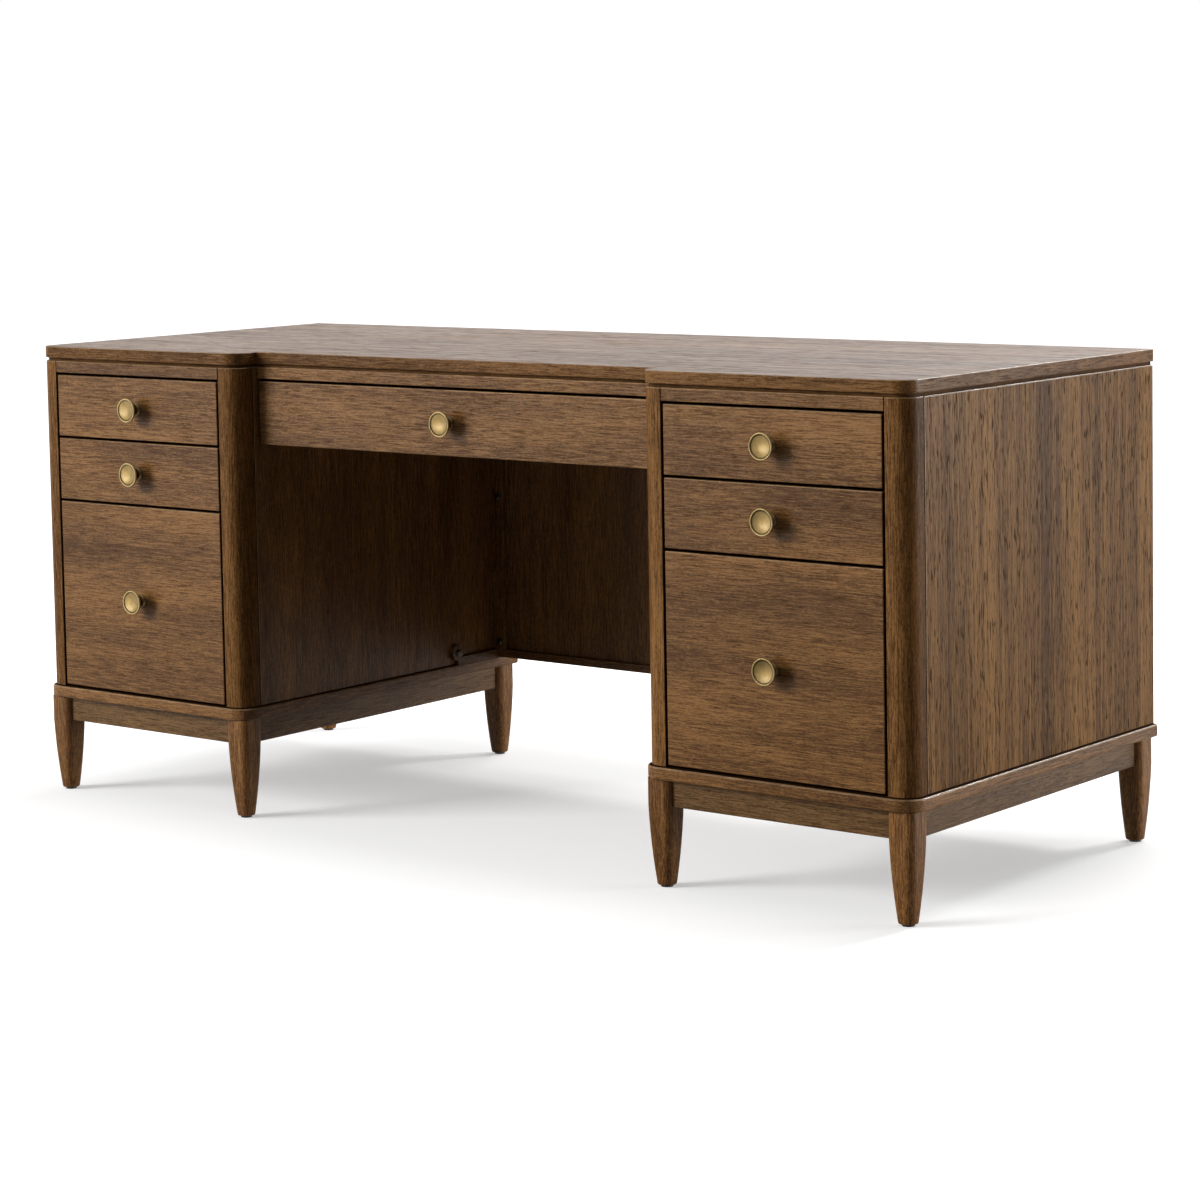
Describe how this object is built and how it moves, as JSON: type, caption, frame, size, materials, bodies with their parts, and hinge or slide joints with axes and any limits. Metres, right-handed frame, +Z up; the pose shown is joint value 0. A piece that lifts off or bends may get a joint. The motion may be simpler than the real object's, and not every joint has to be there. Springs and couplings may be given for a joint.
{
  "type": "pedestal desk",
  "caption": "Breakfront pedestal desk in stained oak with sliding drawers, dished brass knobs, tapered legs and an open kneehole with a modesty panel",
  "frame": {"origin": "on the floor under the middle of the desk's bounding box", "axes": "+X to the right as seen by a person sitting at the desk facing its front, +Y from the drawer fronts to the rear, +Z up"},
  "size_m": [1.76, 0.718, 0.762],
  "materials": {
    "stained_oak": "brown stained oak under satin lacquer",
    "drawer_box_wood": "plain pale wood, thin lacquer",
    "inner_wood": "unfinished",
    "brass_knobs": "spun, satin",
    "runner_steel": "zinc plated sheet",
    "dark_bolts": "dark bronze",
    "glide_plastic": "matt black"
  },
  "bodies": {
    "desk_frame": {"centre_top_rail": "stained_oak", "desk_top": "stained_oak", "glides": "glide_plastic", "kneehole_bolts": "dark_bolts", "kneehole_corner_cleats": "stained_oak", "kneehole_straps": "stained_oak", "left_aprons": "stained_oak", "left_back_panel": "stained_oak", "left_base_board": "stained_oak", "left_inner_post": "stained_oak", "left_inner_side_panel": "stained_oak", "left_legs": "stained_oak", "left_outer_post": "stained_oak", "left_outer_side_panel": "stained_oak", "left_top_rail": "stained_oak", "modesty_bottom_rail": "stained_oak", "modesty_panel": "stained_oak", "right_aprons": "stained_oak", "right_back_panel": "stained_oak", "right_base_board": "stained_oak", "right_inner_post": "stained_oak", "right_inner_side_panel": "stained_oak", "right_legs": "stained_oak", "right_outer_post": "stained_oak", "right_outer_side_panel": "stained_oak", "right_top_rail": "stained_oak", "runner_channels": "runner_steel", "runner_packers": "inner_wood", "top_fixing_cleats": "inner_wood"},
    "left_top_drawer": {"left_top_drawer_box": "drawer_box_wood", "left_top_drawer_front": "stained_oak", "left_top_drawer_knob": "brass_knobs", "left_top_drawer_runner_slides": "runner_steel"},
    "left_middle_drawer": {"left_middle_drawer_box": "drawer_box_wood", "left_middle_drawer_front": "stained_oak", "left_middle_drawer_knob": "brass_knobs", "left_middle_drawer_runner_slides": "runner_steel"},
    "left_file_drawer": {"left_file_drawer_box": "drawer_box_wood", "left_file_drawer_front": "stained_oak", "left_file_drawer_knob": "brass_knobs", "left_file_drawer_runner_slides": "runner_steel"},
    "right_top_drawer": {"right_top_drawer_box": "drawer_box_wood", "right_top_drawer_front": "stained_oak", "right_top_drawer_knob": "brass_knobs", "right_top_drawer_runner_slides": "runner_steel"},
    "right_middle_drawer": {"right_middle_drawer_box": "drawer_box_wood", "right_middle_drawer_front": "stained_oak", "right_middle_drawer_knob": "brass_knobs", "right_middle_drawer_runner_slides": "runner_steel"},
    "right_file_drawer": {"right_file_drawer_box": "drawer_box_wood", "right_file_drawer_front": "stained_oak", "right_file_drawer_knob": "brass_knobs", "right_file_drawer_runner_slides": "runner_steel"},
    "centre_drawer": {"centre_drawer_box": "drawer_box_wood", "centre_drawer_front": "stained_oak", "centre_drawer_knob": "brass_knobs", "centre_drawer_runner_slides": "runner_steel"},
    "left_file_runner_carriage": {"left_file_drawer_runner_carriages": "runner_steel"},
    "right_file_runner_carriage": {"right_file_drawer_runner_carriages": "runner_steel"}
  },
  "joints": [
    {"name": "left_top_drawer_slide", "type": "slide", "parent": "desk_frame", "child": "left_top_drawer", "axis": [0, -1, 0], "range_m": [0, 0.39]},
    {"name": "left_middle_drawer_slide", "type": "slide", "parent": "desk_frame", "child": "left_middle_drawer", "axis": [0, -1, 0], "range_m": [0, 0.39]},
    {"name": "left_file_drawer_slide", "type": "slide", "parent": "desk_frame", "child": "left_file_drawer", "axis": [0, -1, 0], "range_m": [0, 0.52]},
    {"name": "right_top_drawer_slide", "type": "slide", "parent": "desk_frame", "child": "right_top_drawer", "axis": [0, -1, 0], "range_m": [0, 0.39]},
    {"name": "right_middle_drawer_slide", "type": "slide", "parent": "desk_frame", "child": "right_middle_drawer", "axis": [0, -1, 0], "range_m": [0, 0.39]},
    {"name": "right_file_drawer_slide", "type": "slide", "parent": "desk_frame", "child": "right_file_drawer", "axis": [0, -1, 0], "range_m": [0, 0.52]},
    {"name": "centre_drawer_slide", "type": "slide", "parent": "desk_frame", "child": "centre_drawer", "axis": [0, -1, 0], "range_m": [0, 0.3]},
    {"name": "left_file_runner_carriage_slide", "type": "slide", "parent": "desk_frame", "child": "left_file_runner_carriage", "axis": [0, -1, 0], "range_m": [0, 0.26]},
    {"name": "right_file_runner_carriage_slide", "type": "slide", "parent": "desk_frame", "child": "right_file_runner_carriage", "axis": [0, -1, 0], "range_m": [0, 0.26]}
  ],
  "couplings": [
    {"joint": "left_file_runner_carriage_slide", "follows": "left_file_drawer_slide", "ratio": 0.5},
    {"joint": "right_file_runner_carriage_slide", "follows": "right_file_drawer_slide", "ratio": 0.5}
  ]
}
